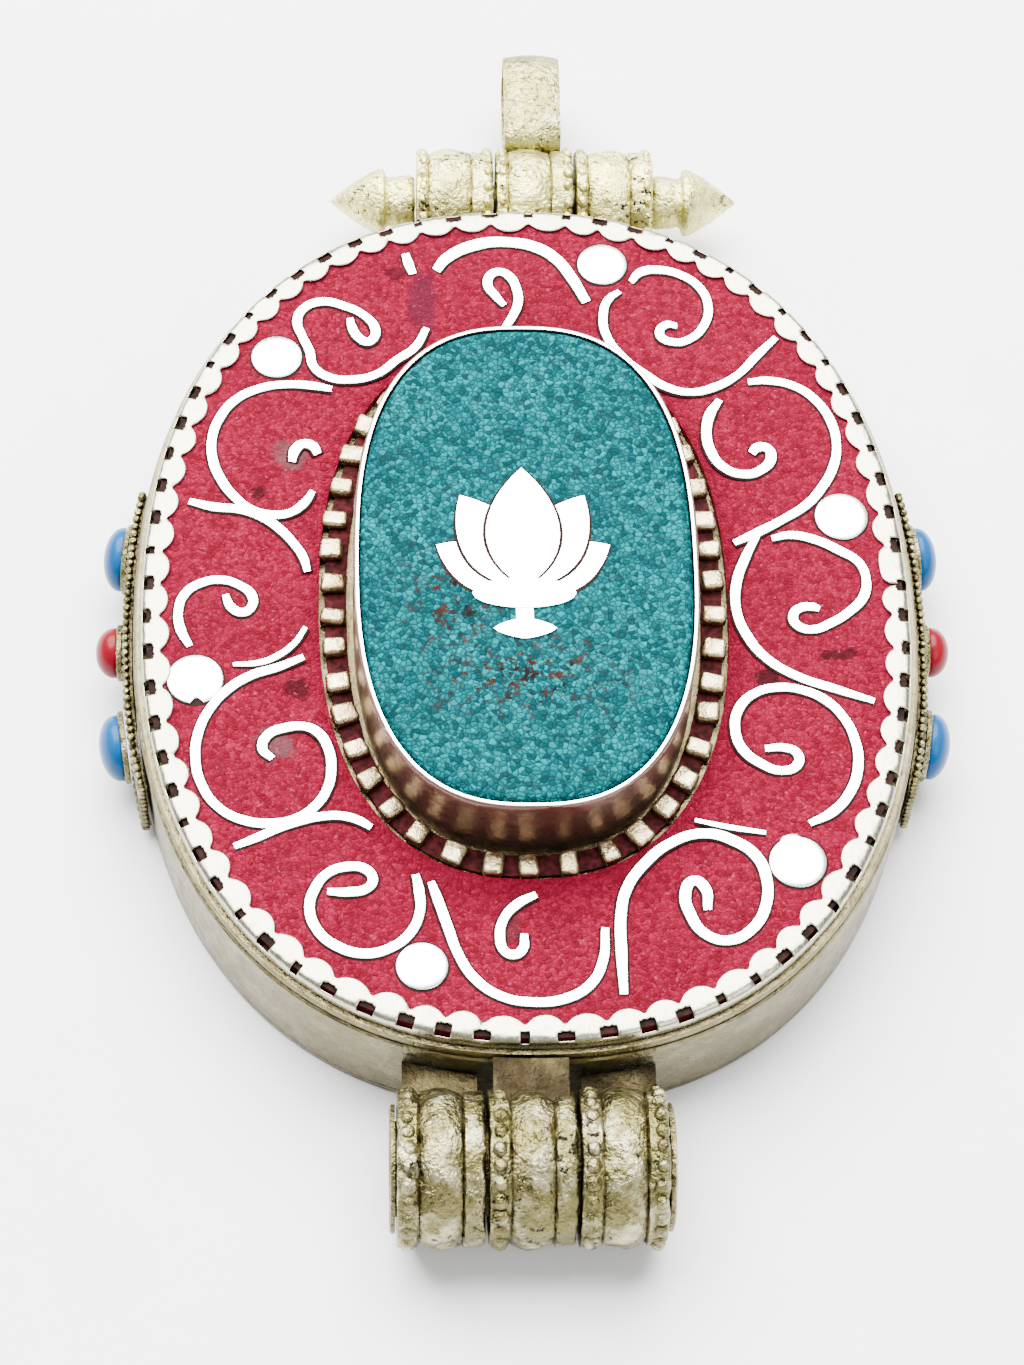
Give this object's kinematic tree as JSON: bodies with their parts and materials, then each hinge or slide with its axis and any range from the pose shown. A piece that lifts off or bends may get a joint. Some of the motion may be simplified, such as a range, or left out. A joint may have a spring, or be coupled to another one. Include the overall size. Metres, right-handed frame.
{
  "type": "prayer box pendant",
  "caption": "Oval silver prayer box pendant (gau) with a hinged lid, coral and turquoise inlay, scroll wires and a swinging bail on a pull-out pin.",
  "frame": {"origin": "centre of the case's back face", "axes": "+Z out of the decorated face, +Y along the length towards the bail, +X to the right of someone facing the lid with the bail up"},
  "size_m": [0.0562, 0.091, 0.0143],
  "materials": {
    "silver": "satin, worn, slightly yellowed silver",
    "bright_silver": "bright silver, filed flat",
    "coral": "crushed coral in resin, ground flush, satin",
    "turquoise": "crushed turquoise chips in dark resin, polished",
    "pitch": "dark pitch filler, matte",
    "blue_stone": "polished opaque blue cabochon",
    "red_stone": "polished opaque red cabochon",
    "paper": "handmade paper, matte",
    "thread": "wound cotton thread"
  },
  "bodies": {
    "case": {"back_plate": "silver", "case_wall": "silver", "hinge_knuckle_left": "silver", "hinge_knuckle_right": "silver", "hinge_pin": "silver", "top_knuckle_left": "silver", "top_knuckle_right": "silver", "finial_right": "silver", "side_plate_left": "silver", "side_plate_right": "silver", "cabochon_cup_left_upper": "silver", "cabochon_cup_left_middle": "silver", "cabochon_cup_left_lower": "silver", "cabochon_cup_right_upper": "silver", "cabochon_cup_right_middle": "silver", "cabochon_cup_right_lower": "silver", "cabochon_left_upper": "blue_stone", "cabochon_left_lower": "blue_stone", "cabochon_right_upper": "blue_stone", "cabochon_right_lower": "blue_stone", "cabochon_left_middle": "red_stone", "cabochon_right_middle": "red_stone", "prayer_roll": "paper", "roll_tie": "thread"},
    "lid": {"lid_plate": "silver", "lid_lip": "silver", "scalloped_bezel": "bright_silver", "coral_inlay": "coral", "scroll_top_left_loop": "bright_silver", "scroll_top_arch": "bright_silver", "scroll_top_curl": "bright_silver", "scroll_top_right_spiral": "bright_silver", "scroll_top_right_sweep": "bright_silver", "scroll_right_upper_spiral": "bright_silver", "scroll_right_sweep": "bright_silver", "scroll_right_loop": "bright_silver", "scroll_right_lower_spiral": "bright_silver", "scroll_bottom_right_loop": "bright_silver", "scroll_bottom_arch": "bright_silver", "scroll_bottom_curl": "bright_silver", "scroll_bottom_left_loop": "bright_silver", "scroll_left_lower_sweep": "bright_silver", "scroll_left_middle_curl": "bright_silver", "scroll_left_upper_sweep": "bright_silver", "dot_1": "bright_silver", "dot_2": "bright_silver", "dot_3": "bright_silver", "dot_4": "bright_silver", "dot_5": "bright_silver", "dot_6": "bright_silver", "stone_collet": "bright_silver", "stone_backing": "pitch", "turquoise_stone": "turquoise", "bead_strip": "silver", "emblem": "bright_silver", "hinge_knuckle_centre": "silver"},
    "bail": {"bail_knuckle": "silver", "bail_loop": "silver"},
    "lock_pin": {"lock_pin_rod": "silver", "finial_left": "silver"}
  },
  "joints": [
    {"name": "lid_hinge", "type": "hinge", "parent": "case", "child": "lid", "pos_m": [0, -0.0378, 0.00525], "axis": [1, 0, 0], "range_deg": [0, 135]},
    {"name": "bail_swing", "type": "hinge", "parent": "case", "child": "bail", "pos_m": [0, 0.0359, 0.0041], "axis": [1, 0, 0], "range_deg": [-90, 90]},
    {"name": "lock_pin_pull", "type": "slide", "parent": "case", "child": "lock_pin", "axis": [-1, 0, 0], "range_m": [0, 0.018]}
  ]
}
